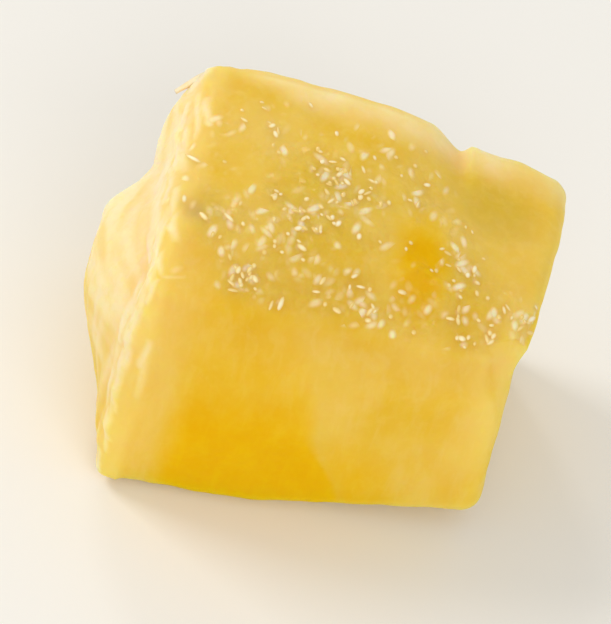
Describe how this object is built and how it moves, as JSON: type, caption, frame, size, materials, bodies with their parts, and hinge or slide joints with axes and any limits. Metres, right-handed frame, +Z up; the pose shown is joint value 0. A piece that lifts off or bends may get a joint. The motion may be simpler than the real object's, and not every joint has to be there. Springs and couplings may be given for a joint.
{
  "type": "pineapple cube",
  "caption": "Hand-cut cube of fresh peeled pineapple flesh, wedge-like, with worn edges and a bulging side, resting on a flat cut face.",
  "frame": {"origin": "middle of the underside of the bounding box, on the surface the cube rests on", "axes": "+Z up, +X to the right along the longest side, -Y out of the front face"},
  "size_m": [0.022, 0.0154, 0.0146],
  "materials": {
    "flesh": "wet, translucent, glistening cut flesh"
  },
  "bodies": {
    "root": {"pineapple_cube": "flesh"}
  },
  "joints": []
}
